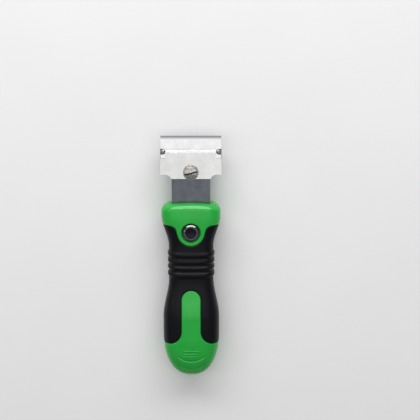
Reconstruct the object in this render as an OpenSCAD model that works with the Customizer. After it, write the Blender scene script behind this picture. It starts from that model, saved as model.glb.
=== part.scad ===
// Razor blade scraper with a push button that locks the blade carrier in four places.
// It lies on its back: +Z is the front face, +Y points to the cutting edge, X runs across.
// The origin is under the middle of the tool, on the surface that it lies on.

/* [Overall] */
// Length of the handle, butt to collar
handle_len = 115; // [110:1:125]
// Distance from the collar to the cutting edge, drawn in
reach = 44.5; // [43:0.5:50]
// Height of the joint between the two handle halves
mid_z = 12; // [11.5:0.1:13]

/* [Handle shape] */
// Width of the collar
collar_w = 38; // [36:0.5:40]
// Width of the waist
waist_w = 28.8; // [28.4:0.2:32]
// Width of the belly
belly_w = 36.4; // [34:0.2:38]
// Height of the collar in front of the joint
collar_front_h = 9.8; // [9.4:0.1:11]
// Height of the waist in front of the joint
waist_front_h = 8.8; // [8.4:0.1:10]
// Height of the belly in front of the joint
belly_front_h = 11.4; // [10:0.1:13]
// How much of the collar's round back is cut flat
collar_flat = 0.6; // [0.3:0.1:1]
// How far the waist's back stays off the surface
waist_lift = 1.8; // [1.2:0.1:2.2]
// How much of the belly's round back is cut flat
belly_flat = 0.7; // [0.3:0.1:1.2]
// Length of the full-width collar
collar_run = 7; // [6:0.5:8]
// Length over which the collar draws in to the waist
flare_run = 20; // [19:0.5:22]
// Length of the waist
waist_run = 22; // [21:0.5:24]
// Length over which the waist swells to the belly
swell_run = 26; // [22:0.5:28]
// Length of the full-width belly
belly_run = 10; // [6:0.5:12]
// Rounding of the collar's front corners, seen from above
front_round = 4.5; // [3.5:0.1:5]
// Rounding of the collar's front edge, seen from the side
face_round = 2.4; // [1.8:0.1:3.4]
// How far the middle of the collar's front bows out past its corners
front_bow = 1.2; // [0.4:0.1:1.8]
// How square the handle's section is: 2 is an ellipse
section_power = 2.6; // [2.2:0.1:3]
// How full the butt's end is: 2 is an ellipse
butt_power = 2.3; // [2:0.1:2.6]

/* [Grip] */
// Thickness of the soft grip
grip_t = 1.2; // [1:0.1:1.4]
// Wall of the hard shell
wall_t = 2; // [1.6:0.1:2.4]
// Number of ribs round the waist
rib_count = 4; // [2:1:4]
// Spacing of the ribs
rib_pitch = 4.4; // [4:0.1:4.6]
// Width of one rib
rib_w = 3; // [2.4:0.1:3.4]
// Height of one rib
rib_h = 0.8; // [0.4:0.1:1]
// First rib's middle, back from the collar's front
rib_back = 32; // [31:0.5:32.5]
// Line where the collar ends, back from its front
collar_line = 12.8; // [11.8:0.1:13.4]
// Line where the butt ends, from its tip
butt_line = 23.5; // [20:0.5:25]
// Width of the centre stripe
stripe_w = 12.4; // [10:0.2:13]
// Top of the centre stripe, from the butt's tip
stripe_top = 59.5; // [54:0.5:64]
// Fillet between the stripe and the butt
stripe_fillet = 9; // [6:0.5:9.5]

/* [Button] */
// Button's middle, back from the collar's front
button_back = 17.1; // [16.5:0.1:18]
// Radius of the button
button_r = 5.4; // [5:0.1:5.6]
// How far the button's rim stands above the shell
button_rise = 0.9; // [0.6:0.1:1.6]
// Depth of the dish in the button
dish_depth = 0.7; // [0.4:0.1:0.9]
// Radius of the dish
dish_r = 4.2; // [3.6:0.1:4.4]
// Rounding of the button's rim
button_edge = 0.5; // [0.3:0.1:0.7]
// Width of the sunk gap round the button
well_gap = 0.9; // [0.6:0.1:1.2]
// Depth of that gap
well_depth = 1.5; // [1:0.1:2]
// Radius of the shell's ring round the button
ring_r = 8.8; // [8.2:0.1:9.2]
// Lean of the ring's flanks, in degrees
ring_lean = 15; // [5:1:20]
// Fillet between the flanks and the collar
ring_fillet = 4; // [3:0.1:4.4]
// How far the button presses in
press_travel = 2.2; // [2:0.1:2.4]

/* [Carrier] */
// Thickness of the carrier's steel
carrier_t = 1.6; // [1.4:0.1:1.8]
// Width of the neck
neck_w = 24.6; // [22:0.2:24.8]
// Length of the neck inside the handle, drawn in
neck_inside = 24.4; // [24.2:0.1:24.6]
// Width of the tail that the latch works in
tail_w = 16; // [15:0.2:17]
// How far the head stands out past the blade at each side
head_over = 0.25; // [0.1:0.05:1]
// Fillet between the neck and the head
head_fillet = 4.2; // [3.6:0.1:5]
// Distance between two locked places
step_pitch = 8; // [6.6:0.1:8]
// Number of locked places
step_count = 4; // [2:1:4]

/* [Blade and clamp] */
// Length of the cutting edge
blade_w = 38.5; // [38:0.1:38.6]
// Depth of the blade, back to edge
blade_d = 19; // [18.6:0.1:19.4]
// Thickness of the blade
blade_t = 0.3; // [0.23:0.01:0.35]
// Depth of the ground edge
bevel_d = 2; // [1:0.1:3]
// Depth of the folded spine
spine_d = 5; // [4.4:0.1:5.2]
// Thickness of the spine's sheet
spine_t = 0.45; // [0.35:0.05:0.5]
// Thickness of the clamp plate
plate_t = 1; // [0.8:0.1:1.2]
// Blade left bare in front of the plate
blade_show = 8.6; // [8:0.1:9]
// Gap between the plate's front and the lugs beside it
lip_gap = 0.3; // [0.25:0.05:1]
// Radius of the clamp screw's head
head_r = 4.3; // [3.8:0.1:4.6]
// Height of the clamp screw's head
head_h = 2.6; // [2.2:0.1:3]
// Radius of the clamp screw's shank
shank_r = 2; // [1.8:0.1:2.2]
// Direction of the slot in the screw
slot_turn = 14; // [0:1:90]
// Radius of the washer
washer_r = 5; // [4.8:0.1:5.4]
// Thickness of the washer
washer_t = 0.8; // [0.5:0.1:1]

/* [Fit] */
// Gap above and below the carrier in the handle
slide_gap = 0.25; // [0.15:0.05:0.35]
// Gap beside the carrier in the handle
side_gap = 0.35; // [0.2:0.05:0.4]
// Running gap round the button
button_gap = 0.2; // [0.15:0.05:0.3]
// Running gap round the clamp screw
thread_gap = 0.05; // [0.03:0.01:0.08]
// Gap under parts that clamp or rest
seat_gap = 0.05; // [0.03:0.01:0.1]

/* [Hidden] */
$fn = 64;

// Overrun of every cut, and cutters larger than the tool
over = 0.5;
stock_w = 2*belly_w;
stock_h = 2*mid_z;

// Places along the tool
overall_len = handle_len + reach;
butt_y = -overall_len/2;
front_y = butt_y + handle_len;
waist_from = collar_run + flare_run;
swell_from = waist_from + waist_run;
tail_from = swell_from + swell_run + belly_run;
tail_len = handle_len - tail_from;
button_y = front_y - button_back;
collar_line_y = front_y - collar_line;

// Where a flank leaves the ring round the button, and the centre of its fillet
flank_x = ring_r*cos(ring_lean);
flank_y = button_y - ring_r*sin(ring_lean);
fillet_y = collar_line_y - ring_fillet;
flank_run = (fillet_y - flank_y + ring_fillet*sin(ring_lean))/cos(ring_lean);
fillet_x = flank_x + flank_run*sin(ring_lean) + ring_fillet*cos(ring_lean);

// Steps of the handle's surface, and how far its end ellipse runs past the tip
nose_steps = 4;
flare_steps = 7;
swell_steps = 8;
tail_steps = 9;
arc_steps = 20;
tip_share = 1.004;

// Pockets that hollow the handle
pocket_first = 8;
pocket_pitch = 13;
web_t = 1.8;
pocket_w = 14;
front_pockets = 6;
back_pockets = 4;
side_pockets = 4;

// Levels of the carrier, the blade and the clamp
carrier_low = mid_z - carrier_t/2;
carrier_top = mid_z + carrier_t/2;
spine_low = carrier_top - spine_t;
spine_top = carrier_top + blade_t + spine_t;
plate_clear = 0.15;
plate_low = spine_top + plate_clear;
plate_top = plate_low + plate_t;
screw_seat = plate_top + washer_t + seat_gap;

// Width of the head, and its places from the cutting edge back
head_w = blade_w + 2*head_over;
edge_y = front_y + reach;
blade_back_y = edge_y - blade_d;
spine_wrap = 0.4;
spine_back_y = blade_back_y - spine_wrap;
spine_front_y = spine_back_y + spine_d;
lip_y = edge_y - blade_show;
seat_lead = 0.6;
head_front_y = lip_y + seat_lead;
screw_to_spine = 4;
screw_y = spine_back_y - screw_to_spine;
head_tail = 1.35;
head_rear_y = screw_y - head_tail;
plate_tail = 4.7;
plate_rear_y = screw_y - plate_tail;

// Side notches of the blade and the lugs that sit in them, between the spine and the plate's lip
notch_depth = 3.2;
notch_r = 1.9;
notch_share = 0.715;
notch_x = blade_w/2 - notch_depth + notch_r;
notch_y = spine_front_y + notch_share*(lip_y - spine_front_y);
lug_gap = 0.3;
lug_r = 1.15;
lug_h = 1;
lug_x = notch_x - notch_r + lug_gap + lug_r;
lug_y = notch_y + notch_r - lug_gap - lug_r;
edge_t = 0.03;
lip_run = 2;
lip_w = 2*(lug_x - lug_r - lip_gap);

// Latch: leaf spring behind the carrier, with two ears in the carrier's ladder
stem_r = 1.8;
slot_gap = 0.4;
leaf_t = 0.5;
leaf_w = 9;
leaf_drop = 0.8;
pad_drop = 4.2;
leaf_foot = 7.5;
leaf_back = 27.4;
leaf_flat = 7;
leaf_tip = 3.1;
ear_len = 3.2;
ear_gap = 0.3;
ear_sink = 0.2;
tip_z = carrier_low - leaf_drop;
pad_z = carrier_low - pad_drop;
foot_y = button_y - leaf_back;
travel = step_pitch*(step_count - 1);
ladder_w = leaf_w + 2*ear_gap;
ladder_len = ear_len + 2*ear_gap;
tail_end = 4;
tail_end_y = button_y - travel - ladder_len/2 - tail_end;
neck_rear_y = front_y - neck_inside;

// Button
button_top_z = mid_z + height_at(button_back, 0, 1) + button_rise;
flange_lip = 1.4;
flange_gap = 0.4;
flange_t = 1.2;
flange_z = mid_z + height_at(button_back, 0, 1) - grip_t - wall_t;

// Fasteners
shell_screw_r = 1.1;
shell_head_r = 2;
shell_head_h = 1.8;
screw_hold = 3.4;
bite_share = 0.42;
shell_screw_len = screw_hold + bite_share*(waist_front_h - grip_t);
screw_wall = 1.1;
front_screw_x = tail_w/2 + side_gap + screw_wall + shell_screw_r;
front_screw_y = neck_rear_y - side_gap - screw_wall - shell_screw_r;
rear_screw = 34;
seat_z = mid_z - screw_hold;
boss_wall = 1.4;
drive_w = 0.7;
drive_depth = 1;
spring_screw_r = 1.1;
spring_head_r = 2.1;
spring_head_h = 1.3;
spring_screw_len = 3.4;
nut_flats = 7;
nut_h = 3.2;
shank_end = 0.5;
slot_w = 1.1;
slot_depth = 1.3;

// Colours
green = [0.2, 0.68, 0.28];
black = [0.08, 0.08, 0.1];
steel = [0.55, 0.56, 0.58];
bright = [0.82, 0.82, 0.83];

function ease(t) = let (u = max(0, min(1, t))) u*u*(3 - 2*u);

// A size that runs from its collar value through the waist to the belly
function along(d, collar, waist, belly) =
    d < waist_from
        ? collar + (waist - collar)*ease((d - collar_run)/flare_run)
        : waist + (belly - waist)*ease((d - swell_from)/swell_run);

// Rounding of the collar's front at a distance from its front
function nose(d, r) = d < r ? r - sqrt(pow(r, 2) - pow(r - d, 2)) : 0;

// Bow of the collar's front, which fades out along the collar
function bow(d, x) = front_bow*(1 - pow(x/(collar_w/2), 2))*(1 - ease(d/collar_run));

// Share of the belly that is left at a distance down the rounded butt
function butt_share(d, inset) =
    d <= tail_from ? 1 : pow(1 - pow((d - tail_from)/tail_share_len(inset), butt_power), 1/butt_power);
function tail_share_len(inset) = (tail_len - inset)*tip_share;

// Rise of the ribs
function rib_place(k) = rib_back + k*rib_pitch;
function rib_rise(d) =
    rib_h*max([for (k = [0:rib_count - 1]) sqrt(1 - pow(min(1, abs(d - rib_place(k))/(rib_w/2)), 2))]);

function width_at(d, inset) =
    (along(d, collar_w/2, waist_w/2, belly_w/2) - nose(d, front_round) - inset)*butt_share(d, inset);
function front_at(d) = along(d, collar_front_h, waist_front_h, belly_front_h);
function back_at(d) = along(d, mid_z + collar_flat, mid_z - waist_lift, mid_z + belly_flat);
function height_at(d, inset, side) =
    ((side > 0 ? front_at(d) : back_at(d)) - nose(d, face_round) - inset)*butt_share(d, inset);

// Distances from the front at which the handle's section is drawn
function stations(inset, ribbed) = concat(
    inset > 0 ? [collar_run] : [for (i = [0:nose_steps]) front_round*(1 - cos(90*i/nose_steps))],
    [for (i = [1:flare_steps]) flare_from(inset) + (waist_from - flare_from(inset))*i/flare_steps],
    ribbed ? [for (k = [0:rib_count - 1]) for (q = [-2:2]) rib_place(k) + q*rib_w/4] : [],
    [for (i = [0:swell_steps]) swell_from + swell_run*i/swell_steps],
    [for (i = [0:tail_steps]) tail_from + (tail_len - inset)*sin(90*i/tail_steps)]);
function flare_from(inset) = inset > 0 ? collar_run : front_round;

// One half section, from side to side over the outer face; a skirt carries it past the joint
function rounded(v) = sign(v)*pow(abs(v), 2/section_power);
function section(d, inset, ribbed, skirt, side) =
    let (rise = ribbed ? rib_rise(d) : 0,
         w = width_at(d, inset) + rise,
         h = height_at(d, inset, side) + rise,
         limit = side > 0 ? h : mid_z - inset,
         arc = [for (j = [0:arc_steps])
             [w*rounded(cos(180*j/arc_steps)), min(limit, h*rounded(sin(180*j/arc_steps)))]])
    skirt > 0 ? concat([[w, -skirt]], arc, [[-w, -skirt]]) : arc;

// One half of the handle's form: side 1 is the front, -1 the back, which is cut flat to lie on
module half_form(side, inset, ribbed, skirt) {
    places = stations(inset, ribbed);
    rings = [for (d = places) section(d, inset, ribbed, skirt, side)];
    n = len(places);
    m = len(rings[0]);
    points = [for (i = [0:n - 1]) for (p = rings[i])
        [side*p[0], front_y - places[i] + bow(places[i], p[0]), mid_z + side*p[1]]];
    skin = [for (i = [0:n - 2]) for (j = [0:m - 2])
        each [[i*m + j, (i + 1)*m + j, (i + 1)*m + j + 1], [i*m + j, (i + 1)*m + j + 1, i*m + j + 1]]];
    base = [for (i = [0:n - 2]) [i*m, i*m + m - 1, (i + 1)*m + m - 1, (i + 1)*m]];
    top = (m - 1)/2;
    front_cap = [for (j = [0:top - 1]) j < top - 1 ? [j, j + 1, m - 2 - j, m - 1 - j] : [j, top, m - 1 - j]];
    back_cap = [for (j = [m - 1:-1:0]) (n - 1)*m + j];
    polyhedron(points, concat(skin, base, front_cap, [back_cap]), convexity = 6);
}

// Box by its middle in X, its two ends in Y and its two levels in Z
module block(w, y0, y1, z0, z1) {
    translate([-w/2, y0, z0]) cube([w, y1 - y0, z1 - z0]);
}

// Outline in Y and Z drawn across the tool
module across(w) {
    translate([-w/2, 0, 0]) rotate([90, 0, 90]) linear_extrude(height = w) children();
}

// Fill of an inner corner at x, y that opens to +X and towards dir in Y
module corner_fill(x, y, r, dir) {
    difference() {
        translate([x - over, dir > 0 ? y - over : y - r]) square([r + over, r + over]);
        translate([x + r, y + dir*r]) circle(r);
    }
}

// Hard shell that shows at the collar, with or without the ring round the button
module collar_area(ringed) {
    translate([-stock_w/2, collar_line_y]) square([stock_w, collar_line + front_bow + over]);
    if (ringed) {
        translate([0, button_y]) circle(ring_r);
        for (s = [0, 1])
            mirror([s, 0]) difference() {
                polygon([
                    [-over, flank_y],
                    [flank_x, flank_y],
                    [fillet_x - ring_fillet*cos(ring_lean), fillet_y + ring_fillet*sin(ring_lean)],
                    [fillet_x, fillet_y],
                    [fillet_x, collar_line_y + over],
                    [-over, collar_line_y + over]]);
                translate([fillet_x, fillet_y]) circle(ring_fillet);
            }
    }
}

// Hard shell that shows at the butt, with its centre stripe
module butt_area() {
    translate([-stock_w/2, butt_y - over]) square([stock_w, butt_line + over]);
    translate([-stripe_w/2, butt_y]) square([stripe_w, stripe_top - stripe_w/2]);
    translate([0, butt_y + stripe_top - stripe_w/2]) circle(stripe_w/2);
    for (s = [0, 1])
        mirror([s, 0]) corner_fill(stripe_w/2, butt_y + butt_line, stripe_fillet, 1);
}

// The bare areas of one half as a cutter
module bare_areas(side) {
    translate([0, 0, side > 0 ? mid_z - over : -over])
        linear_extrude(height = stock_h) {
            collar_area(side > 0);
            butt_area();
        }
}

// Places of the shell screws, at the level of their heads' seats
function shell_screw_places() = [
    [front_screw_x, front_screw_y, seat_z],
    [-front_screw_x, front_screw_y, seat_z],
    [0, butt_y + rear_screw, seat_z]];

// Deep wells for the screw heads, from the back
module head_wells() {
    for (p = shell_screw_places())
        translate([p[0], p[1], -over]) cylinder(r = shell_head_r + seat_gap, h = p[2] + over);
}

// Hollows of one half, between webs, round the rear screw's boss
module pockets(side, centre_count) {
    difference() {
        intersection() {
            half_form(side, grip_t + wall_t, false, over);
            union() {
                for (i = [0:centre_count - 1])
                    pocket_row(i) block(pocket_w, 0, pocket_pitch - web_t, -stock_h, stock_h);
                for (i = [0:side_pockets - 1], s = [-1, 1])
                    pocket_row(i) translate([s*(pocket_w + web_t), 0, 0])
                        block(pocket_w, 0, pocket_pitch - web_t, -stock_h, stock_h);
            }
        }
        translate([0, butt_y + rear_screw, -over])
            cylinder(r = shell_head_r + boss_wall, h = 2*stock_h);
    }
}

module pocket_row(i) {
    translate([0, butt_y + pocket_first + i*pocket_pitch, mid_z]) children();
}

// Way of the carrier through both halves
module carrier_way() {
    z0 = carrier_low - slide_gap;
    z1 = carrier_top + slide_gap;
    block(neck_w + 2*side_gap, neck_rear_y - side_gap, front_y + front_bow + over, z0, z1);
    block(tail_w + 2*side_gap, tail_end_y - over, neck_rear_y, z0, z1);
}

// Hard shell of one half before its inside is cut
module shell_form(side) {
    intersection() {
        half_form(side, 0, false, 0);
        bare_areas(side);
    }
    half_form(side, grip_t, false, 0);
}

module front_shell() {
    color(green) difference() {
        shell_form(1);
        pockets(1, front_pockets);
        carrier_way();
        translate([0, button_y, mid_z - over])
            cylinder(r = button_r + flange_lip + flange_gap, h = flange_z - mid_z + over);
        translate([0, button_y, mid_z])
            cylinder(r = button_r + button_gap, h = stock_h);
        translate([0, button_y, button_top_z - button_rise - well_depth])
            cylinder(r = button_r + well_gap, h = stock_h);
        for (p = shell_screw_places())
            translate(p) cylinder(r = shell_screw_r + seat_gap, h = shell_screw_len + seat_gap);
    }
}

module back_shell() {
    color(green) difference() {
        shell_form(-1);
        pockets(-1, back_pockets);
        carrier_way();
        block(leaf_w + 2*slot_gap, foot_y - slot_gap, button_y + leaf_tip + slot_gap, pad_z, stock_h);
        head_wells();
        for (p = shell_screw_places())
            translate([p[0], p[1], 0]) cylinder(r = shell_screw_r + seat_gap, h = stock_h);
        translate([0, foot_y + leaf_foot/2, pad_z - spring_screw_len - over])
            cylinder(r = spring_screw_r + seat_gap, h = stock_h);
    }
}

module grip(side) {
    color(black) difference() {
        half_form(side, 0, true, 0);
        half_form(side, grip_t, false, over);
        bare_areas(side);
        if (side < 0) head_wells();
    }
}

module front_grip() {
    grip(1);
}

module back_grip() {
    grip(-1);
}

// Cross-recessed screw with its head's seat at z = 0 and its shank along +Z
module cross_screw(r, len, big_r, big_h) {
    difference() {
        union() {
            translate([0, 0, -big_h]) cylinder(r = big_r, h = big_h);
            translate([0, 0, -big_h/2]) cylinder(r = r, h = len + big_h/2);
        }
        for (a = [0, 90])
            rotate([0, 0, a]) block(drive_w, -big_r/2, big_r/2, -big_h - over, drive_depth - big_h);
    }
}

module shell_screws() {
    color(steel) for (p = shell_screw_places())
        translate(p) cross_screw(shell_screw_r, shell_screw_len, shell_head_r, shell_head_h);
}

module spring_screw() {
    color(steel) translate([0, foot_y + leaf_foot/2, pad_z + leaf_t])
        rotate([180, 0, 0])
            cross_screw(spring_screw_r, spring_screw_len + leaf_t, spring_head_r, spring_head_h);
}

module push_button() {
    ball_r = (pow(dish_r, 2) + pow(dish_depth, 2))/(2*dish_depth);
    stem_z = tip_z + seat_gap;
    flange_top = flange_z - seat_gap;
    color(black) translate([0, button_y, 0]) difference() {
        rotate_extrude() polygon([
            [0, stem_z],
            [stem_r, stem_z],
            [stem_r, flange_top - flange_t],
            [button_r + flange_lip, flange_top - flange_t],
            [button_r + flange_lip, flange_top],
            [button_r, flange_top],
            [button_r, button_top_z - button_edge],
            [button_r - button_edge, button_top_z],
            [0, button_top_z]]);
        translate([0, 0, button_top_z - dish_depth + ball_r]) sphere(ball_r);
    }
}

module latch_spring() {
    color(steel) {
        difference() {
            across(leaf_w) polygon([
                [foot_y, pad_z],
                [foot_y + leaf_foot, pad_z],
                [button_y - leaf_flat, tip_z - leaf_t],
                [button_y + leaf_tip, tip_z - leaf_t],
                [button_y + leaf_tip, tip_z],
                [button_y - leaf_flat, tip_z],
                [foot_y + leaf_foot, pad_z + leaf_t],
                [foot_y, pad_z + leaf_t]]);
            translate([0, foot_y + leaf_foot/2, 0])
                cylinder(r = spring_screw_r + seat_gap, h = stock_h);
        }
        for (s = [-1, 1])
            translate([s*(leaf_w - leaf_t)/2, 0, 0])
                block(leaf_t, button_y - ear_len/2, button_y + ear_len/2,
                      tip_z - leaf_t, carrier_top - ear_sink);
    }
}

// Outline of the carrier: head, neck and tail, with the stem's slot and the ladder of locked places
module carrier_outline() {
    difference() {
        union() {
            translate([-head_w/2, head_rear_y]) square([head_w, head_front_y - head_rear_y]);
            translate([-neck_w/2, neck_rear_y]) square([neck_w, head_front_y - neck_rear_y]);
            translate([-tail_w/2, tail_end_y]) square([tail_w, head_front_y - tail_end_y]);
            for (s = [0, 1])
                mirror([s, 0]) corner_fill(neck_w/2, head_rear_y, head_fillet, -1);
        }
        translate([-stem_r - slot_gap, button_y - travel - stem_r - slot_gap])
            square([2*(stem_r + slot_gap), travel + 2*(stem_r + slot_gap)]);
        for (k = [0:step_count - 1])
            translate([-ladder_w/2, button_y - k*step_pitch - ladder_len/2]) square([ladder_w, ladder_len]);
        translate([0, screw_y]) circle(shank_r + side_gap);
    }
}

module carrier() {
    color(steel) {
        difference() {
            translate([0, 0, carrier_low]) linear_extrude(height = carrier_t) carrier_outline();
            block(head_w + 2*over, spine_back_y - seat_gap, spine_front_y + seat_gap,
                  spine_low - seat_gap, stock_h);
        }
        for (s = [-1, 1])
            translate([s*lug_x, lug_y, carrier_low])
                cylinder(r = lug_r, h = carrier_t + lug_h);
    }
}

module blade() {
    color(bright) translate([0, 0, carrier_top]) difference() {
        across(blade_w) polygon([
            [blade_back_y, 0],
            [edge_y - bevel_d, 0],
            [edge_y, (blade_t - edge_t)/2],
            [edge_y, (blade_t + edge_t)/2],
            [edge_y - bevel_d, blade_t],
            [blade_back_y, blade_t]]);
        for (s = [-1, 1]) {
            translate([s*notch_x, notch_y, -over]) cylinder(r = notch_r, h = blade_t + 2*over);
            translate([s*(notch_x + notch_depth/2), 0, 0])
                block(notch_depth, notch_y - notch_r, notch_y + notch_r, -over, blade_t + over);
        }
    }
}

module blade_spine() {
    color(bright) difference() {
        block(blade_w, spine_back_y, spine_front_y, spine_low, spine_top);
        block(blade_w + 2*over, blade_back_y, edge_y, carrier_top, carrier_top + blade_t);
    }
}

// Outline of the clamp plate from above: it follows the carrier's shoulders and narrows at the lip
module plate_outline() {
    difference() {
        union() {
            translate([-head_w/2, plate_rear_y])
                square([head_w, spine_front_y - plate_rear_y]);
            translate([-lip_w/2, plate_rear_y]) square([lip_w, lip_y - plate_rear_y]);
        }
        for (s = [-1, 1])
            translate([s*(neck_w/2 + head_fillet), head_rear_y - head_fillet]) circle(head_fillet);
        for (s = [0, 1])
            mirror([s, 0]) translate([neck_w/2 + head_fillet, plate_rear_y - over])
                square([head_w, head_rear_y - plate_rear_y + over]);
        translate([0, screw_y]) circle(shank_r + side_gap);
    }
}

module clamp_plate() {
    foot_low = carrier_top + seat_gap;
    lip_low = carrier_top + blade_t + seat_gap;
    color(bright) intersection() {
        linear_extrude(height = stock_h) plate_outline();
        across(head_w + 2*over) polygon([
            [plate_rear_y, foot_low],
            [plate_rear_y + plate_t, foot_low],
            [plate_rear_y + plate_t, plate_low],
            [lip_y - lip_run - plate_t/2, plate_low],
            [lip_y - plate_t/2, lip_low],
            [lip_y, lip_low + plate_t/2],
            [lip_y - lip_run, plate_top],
            [plate_rear_y + plate_t/2, plate_top],
            [plate_rear_y, plate_top - plate_t/2]]);
    }
}

module clamp_washer() {
    color(bright) translate([0, screw_y, plate_top]) difference() {
        cylinder(r = washer_r, h = washer_t);
        translate([0, 0, -over]) cylinder(r = shank_r + side_gap, h = washer_t + 2*over);
    }
}

module clamp_screw() {
    dome_r = (pow(head_r, 2) + pow(head_h/2, 2))/head_h;
    shank_low = carrier_low - nut_h - shank_end;
    color(bright) translate([0, screw_y, 0]) difference() {
        union() {
            intersection() {
                translate([0, 0, screw_seat]) cylinder(r = head_r, h = head_h);
                translate([0, 0, screw_seat + head_h - dome_r]) sphere(dome_r);
            }
            translate([0, 0, shank_low]) cylinder(r = shank_r, h = screw_seat - shank_low + over);
        }
        rotate([0, 0, slot_turn - 90])
            block(slot_w, -head_r - over, head_r + over, screw_seat + head_h - slot_depth, stock_h);
    }
}

module clamp_nut() {
    color(steel) translate([0, screw_y, carrier_low - nut_h]) difference() {
        cylinder(r = nut_flats/sqrt(3), h = nut_h, $fn = 6);
        translate([0, 0, -over]) cylinder(r = shank_r + thread_gap, h = nut_h + 2*over);
    }
}

front_shell();
back_shell();
front_grip();
back_grip();
shell_screws();
push_button();
latch_spring();
spring_screw();
carrier();
blade();
blade_spine();
clamp_plate();
clamp_washer();
clamp_screw();
clamp_nut();
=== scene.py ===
import bpy
import math
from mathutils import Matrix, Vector


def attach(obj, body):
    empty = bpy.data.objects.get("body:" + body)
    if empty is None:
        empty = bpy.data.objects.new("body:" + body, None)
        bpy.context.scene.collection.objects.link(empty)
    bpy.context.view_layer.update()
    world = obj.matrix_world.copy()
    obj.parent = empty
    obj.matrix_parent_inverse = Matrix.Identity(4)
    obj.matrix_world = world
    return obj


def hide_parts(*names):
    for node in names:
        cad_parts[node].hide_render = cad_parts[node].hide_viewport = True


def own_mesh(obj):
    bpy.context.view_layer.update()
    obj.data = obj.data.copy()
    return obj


# Razor blade scraper. Lengths in the settings are in millimetres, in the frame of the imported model.
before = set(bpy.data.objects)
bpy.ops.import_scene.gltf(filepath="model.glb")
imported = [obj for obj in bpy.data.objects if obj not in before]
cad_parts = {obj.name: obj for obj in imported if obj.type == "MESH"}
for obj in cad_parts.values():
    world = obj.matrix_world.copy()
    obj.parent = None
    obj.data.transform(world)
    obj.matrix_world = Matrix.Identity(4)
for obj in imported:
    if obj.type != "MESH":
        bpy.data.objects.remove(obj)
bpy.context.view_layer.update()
mm = 0.001


# Small tools for working on one object at a time
def objectMode():
    if bpy.context.object and bpy.context.object.mode != "OBJECT":
        bpy.ops.object.mode_set(mode="OBJECT")


def deselectAll():
    objectMode()
    bpy.ops.object.select_all(action="DESELECT")


def pickOnly(piece):
    deselectAll()
    piece.select_set(True)
    bpy.context.view_layer.objects.active = piece


def editAll(piece):
    pickOnly(piece)
    bpy.ops.object.mode_set(mode="EDIT")
    bpy.ops.mesh.select_mode(type="VERT")
    bpy.ops.mesh.select_all(action="SELECT")


def pickEdges(piece, wanted):
    # edit mode, with only the edges selected whose ends pass the test
    editAll(piece)
    bpy.ops.mesh.select_mode(type="EDGE")
    bpy.ops.mesh.select_all(action="DESELECT")
    objectMode()
    for edge in piece.data.edges:
        edge.select = wanted(*(piece.data.vertices[i].co for i in edge.vertices))
    bpy.ops.object.mode_set(mode="EDIT")


def settle(name):
    piece = bpy.context.object
    piece.name = piece.data.name = name
    bpy.ops.object.transform_apply(location=True, rotation=True, scale=True)  # its place goes into its mesh
    return piece


def copyOf(piece, name):
    twin = piece.copy()
    twin.data = piece.data.copy()
    twin.name = twin.data.name = name
    bpy.context.collection.objects.link(twin)
    return twin


def applyModifier(piece, kind, **settings):
    pickOnly(piece)
    modifier = piece.modifiers.new(kind.lower(), kind)
    for key, value in settings.items():
        setattr(modifier, key, value)
    bpy.ops.object.modifier_apply(modifier=modifier.name)
    return piece


def combine(piece, operation, *tools, solver="EXACT"):
    for tool in tools:
        applyModifier(piece, "BOOLEAN", operation=operation, object=tool, solver=solver)
        bpy.data.objects.remove(tool, do_unlink=True)
    return piece


def joinInto(piece, *others):
    pickOnly(piece)
    for other in others:
        other.select_set(True)
    bpy.ops.object.join()
    return piece


def evenShading(piece, angle=32):
    # rounds shade smoothly and flats stay flat
    pickOnly(piece)
    bpy.ops.object.shade_smooth_by_angle(angle=math.radians(angle))
    return applyModifier(piece, "WEIGHTED_NORMAL", weight=100, keep_sharp=True)


def softenEdges(piece, width, segments=2, angle=32):
    applyModifier(piece, "BEVEL", width=width*mm, segments=segments, limit_method="ANGLE",
                  angle_limit=math.radians(angle), use_clamp_overlap=True)
    return evenShading(piece, angle)


def addBlock(name, low, high):
    deselectAll()
    bpy.ops.mesh.primitive_cube_add(size=1, location=[(a + b)/2*mm for a, b in zip(low, high)])
    bpy.context.object.scale = [(b - a)*mm for a, b in zip(low, high)]
    return settle(name)


def addRod(name, x, y, low, high, r, sides=96):
    deselectAll()
    bpy.ops.mesh.primitive_cylinder_add(vertices=sides, radius=r*mm, depth=(high - low)*mm,
                                        location=(x*mm, y*mm, (low + high)/2*mm))
    return settle(name)


def addOutline(name, spots, push):
    # a filled circle whose points are moved onto the outline, then pushed out to a solid
    deselectAll()
    bpy.ops.mesh.primitive_circle_add(vertices=len(spots), radius=mm, fill_type="NGON")
    piece = settle(name)
    for vertex, spot in zip(piece.data.vertices, spots):
        vertex.co = [c*mm for c in spot]
    editAll(piece)
    bpy.ops.mesh.extrude_region_move(TRANSFORM_OT_translate={"value": [c*mm for c in push]})
    bpy.ops.mesh.select_all(action="SELECT")
    bpy.ops.mesh.normals_make_consistent(inside=False)
    objectMode()
    return piece


def addPlan(name, outline, low, high):
    return addOutline(name, [(x, y, low) for x, y in outline], (0, 0, high - low))


def addSideProfile(name, profile, halfWidth):
    return addOutline(name, [(-halfWidth, y, z) for y, z in profile], (2*halfWidth, 0, 0))


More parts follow.
